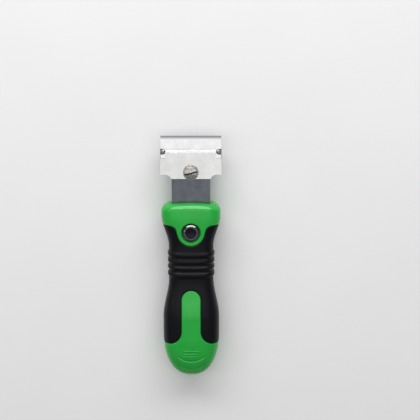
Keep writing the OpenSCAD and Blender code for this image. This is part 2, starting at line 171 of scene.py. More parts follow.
def addTurned(name, profile, x, y, steps=96):
    # a ring of points moved onto a profile of radius and height, opened, and spun round its axis
    deselectAll()
    bpy.ops.mesh.primitive_circle_add(vertices=len(profile), radius=mm, fill_type="NOTHING")
    piece = settle(name)
    for vertex, (r, z) in zip(piece.data.vertices, profile):
        vertex.co = ((x + r)*mm, y*mm, z*mm)
    pickEdges(piece, lambda a, b: max(a.x, b.x) < (x + 1e-6)*mm or (a - b).length < 1e-9)
    bpy.ops.mesh.delete(type="EDGE")
    editAll(piece)
    bpy.ops.mesh.spin(steps=steps, angle=2*math.pi, center=(x*mm, y*mm, 0), axis=(0, 0, 1))
    bpy.ops.mesh.select_all(action="SELECT")
    bpy.ops.mesh.remove_doubles(threshold=0.0005*mm)
    bpy.ops.mesh.normals_make_consistent(inside=False)
    objectMode()
    return piece


def arcSpots(x, y, r, start, end, count=16):
    turns = [math.radians(start + (end - start)*i/count) for i in range(count + 1)]
    return [(x + r*math.cos(t), y + r*math.sin(t)) for t in turns]


def bothSides(right):
    # an outline that is drawn up its right side and mirrored down its left
    return right + [(-x, y) for x, y in reversed(right) if abs(x) > 1e-6]


# Materials: every pattern is made of nodes on Object coordinates, in metres
surface = {"noiseGrit": 0.55, "waveStrength": 0.5, "lineStrength": 0.6, "coatGloss": 0.08}


def newMaterial(name):
    material = bpy.data.materials.new(name)
    material.use_nodes = True
    return material


def shaderOf(material):
    return material.node_tree.nodes["Principled BSDF"]


def addNode(material, kind, **values):
    node = material.node_tree.nodes.new(kind)
    for key, value in values.items():
        if key in node.inputs:
            node.inputs[key].default_value = value
        else:
            setattr(node, key, value)
    return node


def join(material, source, target):
    material.node_tree.links.new(source, target)


def patternOn(material, size, stretch=(1, 1, 1), detail=3):
    # noise whose grains are about this many millimetres, drawn out along an axis by a small stretch there
    place = addNode(material, "ShaderNodeTexCoord")
    mapping = addNode(material, "ShaderNodeMapping", Scale=stretch)
    noise = addNode(material, "ShaderNodeTexNoise", Scale=1/(size*mm), Detail=detail,
                    Roughness=surface["noiseGrit"])
    join(material, place.outputs["Object"], mapping.inputs["Vector"])
    join(material, mapping.outputs["Vector"], noise.inputs["Vector"])
    return noise.outputs["Fac"]


def alongY(material, start, end):
    # 0 to 1 between two places along the tool
    place = addNode(material, "ShaderNodeTexCoord")
    parts = addNode(material, "ShaderNodeSeparateXYZ")
    join(material, place.outputs["Object"], parts.inputs["Vector"])
    return spread(material, parts.outputs["Y"], 0.0, 1.0, start*mm, end*mm)


def spread(material, source, low, high, fromLow=0.3, fromHigh=0.7):
    node = addNode(material, "ShaderNodeMapRange", **{
        "From Min": fromLow, "From Max": fromHigh, "To Min": low, "To Max": high})
    join(material, source, node.inputs["Value"])
    return node.outputs["Result"]


def tint(material, source, dark, light, fromLow=0.3, fromHigh=0.7):
    ramp = addNode(material, "ShaderNodeValToRGB")
    ramp.color_ramp.elements[0].position = fromLow
    ramp.color_ramp.elements[1].position = fromHigh
    ramp.color_ramp.elements[0].color = (*dark, 1)
    ramp.color_ramp.elements[1].color = (*light, 1)
    join(material, source, ramp.inputs["Fac"])
    return ramp.outputs["Color"]


def relief(material, source, depth, strength=1.0, under=None):
    bump = addNode(material, "ShaderNodeBump", Strength=strength, Distance=depth*mm)
    join(material, source, bump.inputs["Height"])
    if under:
        join(material, under, bump.inputs["Normal"])
    return bump.outputs["Normal"]


def plasticFinish(name, look):
    material = newMaterial(name)
    shader = shaderOf(material)
    cloud = patternOn(material, look["cloudSize"], detail=2)
    grain = patternOn(material, look["grainSize"], detail=2)
    join(material, tint(material, cloud, look["dark"], look["light"]), shader.inputs["Base Color"])
    join(material, spread(material, grain, *look["gloss"]), shader.inputs["Roughness"])
    wave = relief(material, cloud, look["waveDepth"], surface["waveStrength"])
    join(material, relief(material, grain, look["grainDepth"], 1.0, wave), shader.inputs["Normal"])
    shader.inputs["Specular IOR Level"].default_value = look["shine"]
    shader.inputs["Coat Weight"].default_value = look["coat"]
    shader.inputs["Coat Roughness"].default_value = surface["coatGloss"]
    return material


def steelFinish(name, look):
    material = newMaterial(name)
    shader = shaderOf(material)
    shader.inputs["Metallic"].default_value = 1.0
    lines = patternOn(material, look["lineSize"], look["lineStretch"], 4)
    # a fade along the tool from light to dark, painted shade towards the blade's ground edge
    if "fade" in look:
        shade = tint(material, alongY(material, *look["fade"]), look["light"], look["dark"], 0.0, 1.0)
    else:
        shade = tint(material, patternOn(material, look["cloudSize"]), look["dark"], look["light"])
    join(material, shade, shader.inputs["Base Color"])
    join(material, spread(material, lines, *look["gloss"]), shader.inputs["Roughness"])
    bumps = relief(material, lines, look["lineDepth"], surface["lineStrength"])
    join(material, bumps, shader.inputs["Normal"])
    return material


finishes = {
    "shellGreen": plasticFinish("shellGreen", {
        "dark": (0.013, 0.37, 0.042), "light": (0.018, 0.41, 0.052), "cloudSize": 9, "grainSize": 0.35,
        "gloss": (0.2, 0.28), "waveDepth": 0.02, "grainDepth": 0.003, "shine": 0.45, "coat": 0.0}),
    "gripBlack": plasticFinish("gripBlack", {
        "dark": (0.001, 0.0012, 0.0028), "light": (0.0022, 0.0026, 0.0052), "cloudSize": 6, "grainSize": 0.32,
        "gloss": (0.32, 0.46), "waveDepth": 0.02, "grainDepth": 0.016, "shine": 0.2, "coat": 0.0}),
    "buttonBlack": plasticFinish("buttonBlack", {
        "dark": (0.004, 0.0045, 0.0095), "light": (0.007, 0.0078, 0.016), "cloudSize": 3, "grainSize": 0.4,
        "gloss": (0.2, 0.3), "waveDepth": 0.004, "grainDepth": 0.002, "shine": 0.15, "coat": 0.0}),
    "buttonRim": plasticFinish("buttonRim", {
        "dark": (0.002, 0.0022, 0.0045), "light": (0.004, 0.0044, 0.0085), "cloudSize": 3, "grainSize": 0.5,
        "gloss": (0.05, 0.1), "waveDepth": 0.004, "grainDepth": 0.0008, "shine": 1.0, "coat": 1.0}),
    "carrierSteel": steelFinish("carrierSteel", {
        "dark": (0.122, 0.131, 0.151), "light": (0.163, 0.174, 0.197), "cloudSize": 5, "lineSize": 0.25,
        "lineStretch": (1, 0.04, 1), "gloss": (0.28, 0.4), "lineDepth": 0.0025}),
    "bladeSteel": steelFinish("bladeSteel", {
        "dark": (0.68, 0.68, 0.69), "light": (0.79, 0.79, 0.795), "cloudSize": 7, "lineSize": 0.14,
        "lineStretch": (1, 0.05, 1), "gloss": (0.1, 0.18), "lineDepth": 0.0016}),
    # darker towards the blade's ground edge: painted shade; its grinding lines are bumps and roughness
    "groundSteelPaintedShade": steelFinish("groundSteelPaintedShade", {
        "dark": (0.2, 0.19, 0.205), "light": (0.6, 0.6, 0.61), "lineSize": 0.14,
        "lineStretch": (1, 0.05, 1), "gloss": (0.2, 0.36), "lineDepth": 0.004, "fade": (77.75, 79.6)}),
    "spineSteel": steelFinish("spineSteel", {
        "dark": (0.5, 0.5, 0.52), "light": (0.62, 0.62, 0.64), "cloudSize": 4, "lineSize": 0.2,
        "lineStretch": (0.05, 1, 1), "gloss": (0.24, 0.4), "lineDepth": 0.004}),
    "plateSteel": steelFinish("plateSteel", {
        "dark": (0.62, 0.62, 0.615), "light": (0.7, 0.7, 0.695), "cloudSize": 6, "lineSize": 0.16,
        "lineStretch": (1, 0.06, 1), "gloss": (0.17, 0.19), "lineDepth": 0.0018}),
    "screwSteel": steelFinish("screwSteel", {
        "dark": (0.24, 0.22, 0.2), "light": (0.78, 0.74, 0.7), "cloudSize": 0.75, "lineSize": 0.5,
        "lineStretch": (1, 1, 1), "gloss": (0.18, 0.42), "lineDepth": 0.06}),
    # near-black finish for the screw's slot: painted shade inside the recess
    "slotPaintedShade": steelFinish("slotPaintedShade", {
        "dark": (0.03, 0.028, 0.026), "light": (0.09, 0.085, 0.08), "cloudSize": 0.6, "lineSize": 0.3,
        "lineStretch": (1, 1, 1), "gloss": (0.4, 0.6), "lineDepth": 0.02}),
    "washerSteel": steelFinish("washerSteel", {
        "dark": (0.36, 0.355, 0.345), "light": (0.5, 0.495, 0.48), "cloudSize": 1.2, "lineSize": 0.4,
        "lineStretch": (1, 1, 1), "gloss": (0.22, 0.4), "lineDepth": 0.01}),
    "fastenerSteel": steelFinish("fastenerSteel", {
        "dark": (0.42, 0.42, 0.43), "light": (0.56, 0.56, 0.58), "cloudSize": 1.5, "lineSize": 0.4,
        "lineStretch": (1, 1, 1), "gloss": (0.25, 0.45), "lineDepth": 0.01}),
    "springSteel": steelFinish("springSteel", {
        "dark": (0.3, 0.3, 0.32), "light": (0.42, 0.42, 0.44), "cloudSize": 3, "lineSize": 0.2,
        "lineStretch": (1, 0.05, 1), "gloss": (0.25, 0.4), "lineDepth": 0.004}),
}
print("finishes:", len(finishes))


def dress(piece, *names):
    piece.data.materials.clear()  # a boolean leaves an empty slot
    for name in names:
        piece.data.materials.append(finishes[name])


def handOver(piece, body, node, slot, *names):
    if names:
        dress(piece, *names)
    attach(piece, body)
    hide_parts(node)
    print("piece:", piece.name, len(piece.data.polygons), "faces")
    return piece


# Handle: a lofted form, cut at the joint between its halves and along the seams of the two plastics
handleShape = {
    "frontY": 35.25, "midZ": 12.0, "length": 115.0,
    "halfWidth": (19.0, 14.4, 18.2),  # collar, waist, belly
    "front": (9.8, 8.8, 11.4),  # heights above the joint
    "back": (12.6, 10.2, 12.7),  # depths below it, before the flat is cut
    "collarRun": 7.0, "flareRun": 20.0, "waistRun": 22.0, "swellRun": 26.0, "bellyRun": 10.0,
    "frontRound": 4.5, "faceRound": 2.4, "frontBow": 1.2, "tipShare": 1.004, "buttPower": 2.3,
    "facet": (1.3, 0.8, 1.5, 1.6),  # corner radius, slope, run, radius of its easing
    "squareness": 2.6, "gripDepth": 1.2, "coreGap": 0.03,
    "ribBack": 32.0, "ribPitch": 4.4, "ribWidth": 3.0, "ribHeight": 0.8, "ribCount": 4,
    "around": 176, "ringStep": 0.4, "noseRings": 20, "tailRings": 36, "partingGap": 0.04, "seamGap": 0.14,
    "voxel": 0.3, "smoothing": 7, "smoothShare": 0.5,
    "hiddenShare": 0.4, "hiddenDepth": 0.8, "mouthY": 33.0, "buttonClear": 8.0,  # the skin that is thinned
}


def easeIn(t):
    u = max(0.0, min(1.0, t))
    return u*u*(3 - 2*u)


def alongHandle(d, sizes):
    shape = handleShape
    collar, waist, belly = sizes
    waistFrom = shape["collarRun"] + shape["flareRun"]
    if d < waistFrom:
        return collar + (waist - collar)*easeIn((d - shape["collarRun"])/shape["flareRun"])
    return waist + (belly - waist)*easeIn((d - waistFrom - shape["waistRun"])/shape["swellRun"])


def tailFrom():
    return sum(handleShape[key] for key in ("collarRun", "flareRun", "waistRun", "swellRun", "bellyRun"))


def buttShare(d, inset):
    if d <= tailFrom():
        return 1.0
    reach = (handleShape["length"] - tailFrom() - inset)*handleShape["tipShare"]
    power = handleShape["buttPower"]
    return (1 - ((d - tailFrom())/reach)**power)**(1/power)


def noseInset(d, r):
    return r - math.sqrt(r*r - (r - d)**2) if d < r else 0.0


def faceInset(d):
    # the front face rounds over into a sloped facet, which eases into the top
    r, slope, run, ease = handleShape["facet"]
    lean = math.atan(slope)
    start = r*(1 - math.sin(lean))
    end = start + run
    flat = end + ease*math.sin(lean)
    low = ease*(1 - math.cos(lean))
    if d < start:
        return low + run*slope + r*math.cos(lean) - math.sqrt(r*r - (r - d)**2)
    if d < end:
        return low + (end - d)*slope
    return ease - math.sqrt(ease*ease - (flat - d)**2) if d < flat else 0.0


def ribRise(d):
    shape = handleShape
    gaps = [abs(d - shape["ribBack"] - k*shape["ribPitch"])/(shape["ribWidth"]/2)
            for k in range(shape["ribCount"])]
    return shape["ribHeight"]*math.sqrt(1 - min(1, min(gaps))**2)


def frontBow(d, x):
    shape = handleShape
    return shape["frontBow"]*(1 - (x/shape["halfWidth"][0])**2)*(1 - easeIn(d/shape["collarRun"]))


def ringPlaces(inset):
    shape = handleShape
    r, nose, end = shape["frontRound"], shape["noseRings"], shape["tailRings"]
    places = [shape["collarRun"]] if inset else [r*(1 - math.cos(math.pi/2*i/nose)) for i in range(nose + 1)]
    steps = math.ceil((tailFrom() - places[-1])/shape["ringStep"])
    places += [places[-1] + (tailFrom() - places[-1])*i/steps for i in range(1, steps + 1)]
    tail = shape["length"] - tailFrom() - inset
    return places + [tailFrom() + tail*math.sin(math.pi/2*i/end) for i in range(1, end + 1)]


def addForm(name, inset=0.0, ribbed=False):
    shape = handleShape
    places = ringPlaces(inset)
    deselectAll()
    bpy.ops.mesh.primitive_cylinder_add(vertices=shape["around"], radius=1, depth=1, end_fill_type="TRIFAN",
                                        rotation=(math.pi/2, 0, 0))
    form = settle(name)
    pickEdges(form, lambda a, b: abs(a.y - b.y) > 0.5)  # the lengthwise edges
    bpy.ops.mesh.subdivide(number_cuts=len(places) - 2)
    objectMode()
    power = 2/shape["squareness"]
    for vertex in form.data.vertices:
        x, y, z = vertex.co
        d = places[round((0.5 - y)*(len(places) - 1))]
        turn = math.atan2(z, x)
        rise = ribRise(d) if ribbed else 0.0
        share = buttShare(d, inset)
        side = shape["front"] if z > 0 else shape["back"]
        w = (alongHandle(d, shape["halfWidth"]) - noseInset(d, shape["frontRound"]) - inset)*share + rise
        cut = faceInset(d) if z > 0 else noseInset(d, shape["faceRound"])
        h = (alongHandle(d, side) - cut - inset)*share + rise
        middle = math.hypot(x, z) < 0.5  # of an end's fan
        across = 0.0 if middle else math.copysign(abs(math.cos(turn))**power, x)
        up = 0.0 if middle else math.copysign(abs(math.sin(turn))**power, z)
        level = max(inset, shape["midZ"] + h*up)  # the back is cut flat, to lie on
        place = shape["frontY"] - d + frontBow(d, w*across)
        vertex.co = (w*across*mm, place*mm, level*mm)
    form.data.update()
    return form


def halfOf(form, name, front, gap=None):
    half = copyOf(form, name)
    gap = handleShape["partingGap"] if gap is None else gap
    level = handleShape["midZ"] + (gap if front else -gap)
    editAll(half)
    bpy.ops.mesh.bisect(plane_co=(0, 0, level*mm), plane_no=(0, 0, 1), use_fill=True,
                        clear_inner=front, clear_outer=not front, threshold=1e-7)
    objectMode()
    return half


seamLines = {
    "collarY": 22.45, "ringY": 18.15, "ringR": 8.8, "lean": 15.0, "fillet": 4.0,
    "buttY": -56.25, "stripeHalf": 6.2, "stripeTop": -20.25, "stripeFillet": 9.0,
    "far": 40.0, "cutZ": (-5, 40),
}


def collarOutline(grow, ringed):
    line = seamLines
    far = line["far"]
    low = line["collarY"] - grow
    if not ringed:
        return [(far, far), (-far, far), (-far, low), (far, low)]
    lean = math.radians(line["lean"])
    r, f = line["ringR"] + grow, line["fillet"] - grow
    startX, startY = r*math.cos(lean), line["ringY"] - r*math.sin(lean)
    filletY = low - f
    run = (filletY - startY + f*math.sin(lean))/math.cos(lean)
    filletX = startX + run*math.sin(lean) + f*math.cos(lean)
    right = arcSpots(0, line["ringY"], r, -90, -line["lean"], 40)
    right += arcSpots(filletX, filletY, f, 180 - line["lean"], 90, 20)
    return bothSides(right + [(far, low), (far, far)])


def buttOutline(grow):
    line = seamLines
    far = line["far"]
    s, f = line["stripeHalf"] + grow, line["stripeFillet"] - grow
    low = line["buttY"] + grow
    right = [(far, -3*far), (far, low)] + arcSpots(s + f, low + f, f, 270, 180, 24)
    right += arcSpots(0, line["stripeTop"] - line["stripeHalf"], s, 0, 90, 32)
    return bothSides(right)


def bareAreas(grow, ringed):
    collar = addPlan("collarArea", collarOutline(grow, ringed), *seamLines["cutZ"])
    butt = addPlan("buttArea", buttOutline(grow), *seamLines["cutZ"])
    return collar, butt


plainForm = addForm("plainForm")
ribbedForm = addForm("ribbedForm", ribbed=True)
coreForm = addForm("coreForm", inset=handleShape["gripDepth"] + handleShape["coreGap"])
print("handle forms:", len(plainForm.data.vertices), "points each")

# Room inside the handle for the carrier, the button, the latch and the screws
handleRoom = {
    "neck": ((-12.65, 10.5, 10.95), (12.65, 40, 13.05)), "tail": ((-8.35, -12.25, 10.95), (8.35, 11, 13.05)),
    "leaf": ((-4.9, -9.65, 7.0), (4.9, 21.65, 14)), "buttonY": 18.15, "flange": (7.2, 11.5, 18.09),
    "bore": (5.6, 12, 30), "well": (6.3, 19.79, 30), "screws": ((10.55, 8.3), (-10.55, 8.3), (0, -45.75)),
    "pilotR": 1.15, "pilotTop": 15.25, "pilotZ": (5, 20), "headR": 2.05, "wellLow": -5, "seatZ": 8.6,
    "springScrew": (0, -5.5), "springSeat": 7.5, "springPilot": (3.1, 12),
}


def carrierRoom():
    return addBlock("neckRoom", *handleRoom["neck"]), addBlock("tailRoom", *handleRoom["tail"])


def mould(piece):
    # one skin of even faces with the softly rounded edges of a moulding
    shape = handleShape
    applyModifier(piece, "REMESH", mode="VOXEL", voxel_size=shape["voxel"]*mm)
    applyModifier(piece, "SMOOTH", factor=shape["smoothShare"], iterations=shape["smoothing"])
    pickOnly(piece)
    bpy.ops.object.shade_smooth()
    return piece


def thinHidden(piece):
    # the skin inside the handle needs fewer faces than the skin that shows
    shape = handleShape
    group = piece.vertex_groups.new(name="hidden")
    deep = []
    for vertex in piece.data.vertices:
        near = plainForm.closest_point_on_mesh(vertex.co)[1]
        x, y = vertex.co.x/mm, vertex.co.y/mm
        clear = math.hypot(x, y - handleRoom["buttonY"]) > shape["buttonClear"] and y < shape["mouthY"]
        if clear and (near - vertex.co).length > shape["hiddenDepth"]*mm:
            deep.append(vertex.index)
    group.add(deep, 1.0, "REPLACE")
    applyModifier(piece, "DECIMATE", ratio=shape["hiddenShare"], vertex_group="hidden")
    piece.vertex_groups.clear()
    return piece


def addShell(name, front):
    shell = halfOf(coreForm, name, front)
    for area in bareAreas(-handleShape["seamGap"], front):
        bare = halfOf(plainForm, "bare", front)
        combine(bare, "INTERSECT", area, solver="MANIFOLD")
        combine(shell, "UNION", bare, solver="MANIFOLD")
    room = handleRoom
    tools = list(carrierRoom())
    if front:
        for key in ("flange", "bore", "well"):
            r, low, high = room[key]
            tools.append(addRod(key, 0, room["buttonY"], low, high, r, 128))
        for x, y in room["screws"]:
            tools.append(addRod("pilot", x, y, room["pilotZ"][0], room["pilotTop"], room["pilotR"]))
    else:
        tools.append(addBlock("leafRoom", *room["leaf"]))
        for x, y in room["screws"]:
            tools += [addRod("well", x, y, room["wellLow"], room["seatZ"], room["headR"]),
                      addRod("pilot", x, y, *room["pilotZ"], room["pilotR"])]
        tools.append(addRod("pilot", *room["springScrew"], *room["springPilot"], room["pilotR"]))
    combine(shell, "DIFFERENCE", *tools, solver="MANIFOLD")
    return thinHidden(mould(shell))


def addGrip(name, front):
    grip = halfOf(ribbedForm, name, front)
    tools = [copyOf(coreForm, "core"), *bareAreas(handleShape["seamGap"], front)]
    if not front:
        room = handleRoom
        for x, y in room["screws"]:
            tools.append(addRod("well", x, y, room["wellLow"], room["seatZ"], room["headR"]))
    combine(grip, "DIFFERENCE", *tools, solver="MANIFOLD")
    return mould(grip)


# Marks on the butt: two smile-shaped grooves, and short plain ridges between them and the stripe
buttMarks = {
    "smiles": ((-68.1, 12.9, 8.6, 0.58), (-75.2, 9.7, 8.9, 0.9)),  # lowest point, radius, half width, depth
    "smileWidth": 0.52, "smileFade": 2,
    "ridges": ((-60.9, -4.9, 5.2), (-63.1, -4.8, 3.2), (-64.8, -4.8, 3.2)),  # place, left end, right end
    "ridgeHeight": 0.2, "ridgeWidth": 0.42, "ridgeEnd": 0.5, "ridgeFade": 0.8,
    "finerY": -57, "markedY": -55, "aboveZ": 13, "facing": 0.15,  # the part of the butt that is marked
}


def buttMove(x, y):
    marks = buttMarks
    move = 0.0
    for lowest, r, half, deep in marks["smiles"]:
        away = math.hypot(x, y - lowest - r) - r
        fade = easeIn((half - abs(x))/marks["smileFade"] + 0.5) if y < lowest + r else 0.0
        move -= deep*fade*math.exp(-(away/marks["smileWidth"])**2)
    for place, left, right in marks["ridges"]:
        inside = [(gap + marks["ridgeEnd"])/marks["ridgeFade"] for gap in (x - left, right - x)]
        fade = easeIn(inside[0])*easeIn(inside[1])
        move += marks["ridgeHeight"]*fade*math.exp(-((y - place)/marks["ridgeWidth"])**4)
    return move


def markButt(shell):
    marks = buttMarks
    pickOnly(shell)
    for face in shell.data.polygons:
        x, y, z = (c/mm for c in face.center)
        face.select = y < marks["finerY"] and z > marks["aboveZ"] and face.normal.z > marks["facing"]
    bpy.ops.object.mode_set(mode="EDIT")
    bpy.ops.mesh.select_mode(type="FACE")
    bpy.ops.mesh.subdivide(number_cuts=1)  # finer faces for the fine marks
    objectMode()
    directions = [vertex.normal.copy() for vertex in shell.data.vertices]
    for vertex, direction in zip(shell.data.vertices, directions):
        x, y, z = (c/mm for c in vertex.co)
        if y < marks["markedY"] and z > marks["aboveZ"] and direction.z > marks["facing"]:
            vertex.co += direction*(buttMove(x, y)*mm)
    shell.data.update()


frontShell = addShell("frontShell", True)
markButt(frontShell)
handOver(frontShell, "handle", "front_shell", "shell_green", "shellGreen")
handOver(addShell("backShell", False), "handle", "back_shell", "shell_green", "shellGreen")
handOver(addGrip("frontGrip", True), "handle", "front_grip", "grip_black", "gripBlack")
handOver(addGrip("backGrip", False), "handle", "back_grip", "grip_black", "gripBlack")
for form in (plainForm, ribbedForm, coreForm):
    bpy.data.objects.remove(form, do_unlink=True)
print("handle: done")

# Push button: a turned cap with a rolled rim round a dish, on a flange and a stem
buttonSize = {
    "y": 18.15, "stemR": 1.8, "stemZ": 10.45, "flangeR": 6.8, "flangeZ": (16.84, 18.04),
    "r": 5.4, "topZ": 22.19, "slope": (5.22, 0.66), "crestR": 4.1, "dishDepth": 0.7,
    "stemEdge": 0.25, "stemFillet": 0.3, "flangeEdge": 0.15, "wallDrop": 0.5, "turnDrop": 0.3,
    "turnAngle": 58, "rimCurve": 1.35, "dishStart": 0.1, "rimAbove": 0.5, "rimInside": 0.35,
}


def addButton():
    size = buttonSize
    low, high = size["flangeZ"]
    top, crest, depth = size["topZ"], size["crestR"], size["dishDepth"]
    slopeR, slopeFall = size["slope"]
    shoulder = top - slopeFall
    stem, foot, flange, r = size["stemR"], size["stemZ"], size["flangeR"], size["r"]
    stemEdge, fillet, edge = size["stemEdge"], size["stemFillet"], size["flangeEdge"]
    profile = [(0, foot), (stem - stemEdge, foot), (stem, foot + stemEdge), (stem, low - fillet),
               (stem + fillet, low), (flange - edge, low), (flange, low + edge), (flange, high - edge),
               (flange - edge, high), (r, high), (r, shoulder - size["wallDrop"])]
    turn = r - slopeR
    profile += arcSpots(r - turn, shoulder - size["turnDrop"], turn, 0, size["turnAngle"], 6)
    # a rim that slopes and rounds over to its crest, then the dish
    edgeR, edgeZ = profile[-1]
    for i in range(1, 9):
        climb = 1 - (1 - i/8)**size["rimCurve"]
        profile.append((edgeR + (crest - edgeR)*i/8, edgeZ + (top - edgeZ)*climb))
    for i in range(1, 21):
        fall = (1 - (1 - i/20)**2)*easeIn(i/5 + size["dishStart"])
        profile.append((crest*(1 - i/20), top - depth*fall))
    button = addTurned("pushButton", profile, 0, size["y"], 128)
    dress(button, "buttonBlack", "buttonRim")
    for face in button.data.polygons:
        out = math.hypot(face.center.x, face.center.y - size["y"]*mm)
        above = face.center.z > (high + size["rimAbove"])*mm
        face.material_index = int(above and out > (crest - size["rimInside"])*mm)
    return evenShading(button, 40)


handOver(addButton(), "button", "push_button", "button_black")

# Screws: turned heads and shanks with rolled threads, and their drives cut in
screwSizes = {
    "shell": {"r": 1.1, "core": 0.85, "length": 6.59, "headR": 2.0, "headH": 1.8, "pitch": 0.7},
    "spring": {"r": 1.1, "core": 0.85, "length": 3.9, "headR": 2.1, "headH": 1.3, "pitch": 0.7},
    "driveWidth": 0.7, "driveDepth": 1.0, "driveShare": 0.55, "driveOver": 1,
    "headCurve": ((0.7, 0), (0.25, 0.12), (0, 0.5)),  # in from the head's side, and down from its face
    "headEdge": 0.12, "threadFrom": 0.4, "threadEnd": 1.0, "pointEnd": 0.9,
    "flanks": (0.2, 0.5, 0.62),  # shares of the pitch
}


def threadSpots(r, core, start, end, pitch):
    # zigzag from start towards end
    way = 1 if end > start else -1
    root, crest, back = (way*pitch*share for share in screwSizes["flanks"])
    spots = []
    for i in range(int(abs(end - start)/pitch)):
        z = start + way*i*pitch
        spots += [(core, z), (core, z + root), (r, z + crest), (r, z + back)]
    return spots


def addCrossScrew(name, size, x, y, seat, way):
    # way is the direction of the shank, 1 up or -1 down
    r, core, big, tall = size["r"], size["core"], size["headR"], size["headH"]
    shared = screwSizes
    face, edge = seat - way*tall, shared["headEdge"]
    profile = [(0, face)] + [(big - inward, face + way*down) for inward, down in shared["headCurve"]]
    profile += [(big, seat - way*edge), (big - edge, seat), (core, seat)]
    threadEnd = seat + way*(size["length"] - shared["threadEnd"])
    profile += threadSpots(r, core, seat + way*shared["threadFrom"], threadEnd, size["pitch"])
    profile += [(core, seat + way*(size["length"] - shared["pointEnd"])), (0, seat + way*size["length"])]
    screw = addTurned(name, profile, x, y, 48)
    half, arm = shared["driveWidth"]/2, big*shared["driveShare"]
    low, high = sorted((face - way*shared["driveOver"], face + way*shared["driveDepth"]))
    drive = addBlock("drive", (x - half, y - arm, low), (x + half, y + arm, high))
    combine(drive, "UNION", addBlock("arm", (x - arm, y - half, low), (x + arm, y + half, high)))
    combine(screw, "DIFFERENCE", drive)
    return evenShading(screw, 30)


firstX, firstY = handleRoom["screws"][0]
shellScrews = addCrossScrew("shellScrews", screwSizes["shell"], firstX, firstY, handleRoom["seatZ"], 1)
others = [copyOf(shellScrews, "shellScrew") for place in handleRoom["screws"][1:]]
for screw, (x, y) in zip(others, handleRoom["screws"][1:]):
    editAll(screw)
    bpy.ops.transform.translate(value=((x - firstX)*mm, (y - firstY)*mm, 0))
    objectMode()
joinInto(shellScrews, *others)
handOver(shellScrews, "handle", "shell_screws", "fastener_steel", "fastenerSteel")
springScrew = addCrossScrew("springScrew", screwSizes["spring"], *handleRoom["springScrew"],
                            handleRoom["springSeat"], -1)
handOver(springScrew, "handle", "spring_screw", "fastener_steel", "fastenerSteel")

# Latch spring: a bent leaf with two ears that stand in the carrier's ladder
leafSize = {
    "half": 4.5, "thick": 0.5, "foot": (-9.25, -1.75), "padZ": 7.0, "flat": (11.15, 21.25), "tipZ": 10.4,
    "ear": (16.55, 19.75), "earTop": 12.6, "hole": (0, -5.5, 1.15), "holeZ": (5, 9), "edge": 0.1,
    "pressed": 0.353,
}


def addLatchSpring():
    size = leafSize
    t, pad, tip = size["thick"], size["padZ"], size["tipZ"]
    (footA, footB), (flatA, flatB) = size["foot"], size["flat"]
    low = [(footA, pad), (footB, pad), (flatA, tip - t), (flatB, tip - t)]
    high = [(flatB, tip), (flatA, tip), (footB, pad + t), (footA, pad + t)]
    leaf = addSideProfile("latchSpring", low + high, size["half"])
    earA, earB = size["ear"]
    for side in (-1, 1):
        edges = sorted((side*(size["half"] - t), side*size["half"]))
        combine(leaf, "UNION", addBlock("ear", (edges[0], earA, tip - t), (edges[1], earB, size["earTop"])))
    x, y, r = size["hole"]
    combine(leaf, "DIFFERENCE", addRod("hole", x, y, *size["holeZ"], r, 48))
    return softenEdges(leaf, size["edge"])


latchSpring = handOver(addLatchSpring(), "handle", "latch_spring", "spring_steel", "springSteel")
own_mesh(latchSpring)

# Carrier: a steel strip with a wide head, a neck, and a tail with the stem's slot and the ladder
carrierSize = {
    "z": (11.2, 12.8), "tail": (8.0, -11.75), "neck": (12.3, 10.85), "head": (19.5, 55.0, 71.75),
    "fillet": 4.2, "slot": (2.2, -8.05, 20.35), "ladder": (4.8, 1.9), "steps": (18.15, 10.15, 2.15, -5.85),
    "seat": (60.3, 65.4, 12.3), "lug": (17.5, 69.947, 1.15, 13.8), "hole": (56.35, 2.35), "edge": 0.16,
    "cutZ": (10, 14), "cutX": 25, "lugSunk": 0.2, "lugPaintedHighlight": 0.1,
}


def addCarrier():
    size = carrierSize
    low, high = size["z"]
    tailX, tailY = size["tail"]
    neckX, neckY = size["neck"]
    headX, headLow, headHigh = size["head"]
    f = size["fillet"]
    right = [(tailX, tailY), (tailX, neckY), (neckX, neckY)]
    right += arcSpots(neckX + f, headLow - f, f, 180, 90, 24) + [(headX, headLow), (headX, headHigh)]
    carrier = addPlan("carrierStrip", bothSides(right), low, high)
    under, over = size["cutZ"]
    x, y0, y1 = size["slot"]
    tools = [addBlock("slot", (-x, y0, under), (x, y1, over))]
    x, half = size["ladder"]
    tools += [addBlock("rung", (-x, y - half, under), (x, y + half, over)) for y in size["steps"]]
    y, r = size["hole"]
    tools.append(addRod("hole", 0, y, under, over, r))
    y0, y1, z = size["seat"]
    tools.append(addBlock("seat", (-size["cutX"], y0, z), (size["cutX"], y1, over)))
    combine(carrier, "DIFFERENCE", *tools)
    applyModifier(carrier, "BEVEL", width=size["edge"]*mm, segments=2, limit_method="ANGLE",
                  angle_limit=math.radians(32))
    # the second finish is for the lugs' domes, a painted highlight
    dress(carrier, "carrierSteel", "spineSteel")
    x, y, r, top = size["lug"]
    foot = low + size["lugSunk"]
    turns = [math.pi/2*i/10 for i in range(1, 11)]
    post = [(0, foot), (r, foot), (r, high)]
    post += [(r*math.cos(turn), high + (top - high)*math.sin(turn)) for turn in turns]
    for side in (-1, 1):
        lug = addTurned("lug", post, side*x, y, 40)
        dress(lug, "carrierSteel", "spineSteel")
        for face in lug.data.polygons:
            # its dome takes the brighter finish, a painted highlight
            face.material_index = int(face.center.z > (high + size["lugPaintedHighlight"])*mm)
        joinInto(carrier, lug)
    return evenShading(carrier)


handOver(addCarrier(), "carriage", "carrier", "carrier_steel")

# Blade: thin strip with a ground edge and two end notches, and the folded spine on its back
bladeSize = {
    "half": 19.25, "y": (60.75, 79.75), "z": (12.8, 13.1), "bevel": 2.0, "edge": 0.03,
    "notch": (17.95, 69.497, 1.9), "spineY": (60.35, 65.35), "spineZ": (12.35, 13.55), "fold": 0.42,
    "spineEdge": 0.08, "cutZ": (11, 15), "cutX": 25, "cutY": 90, "mouth": 5,
}


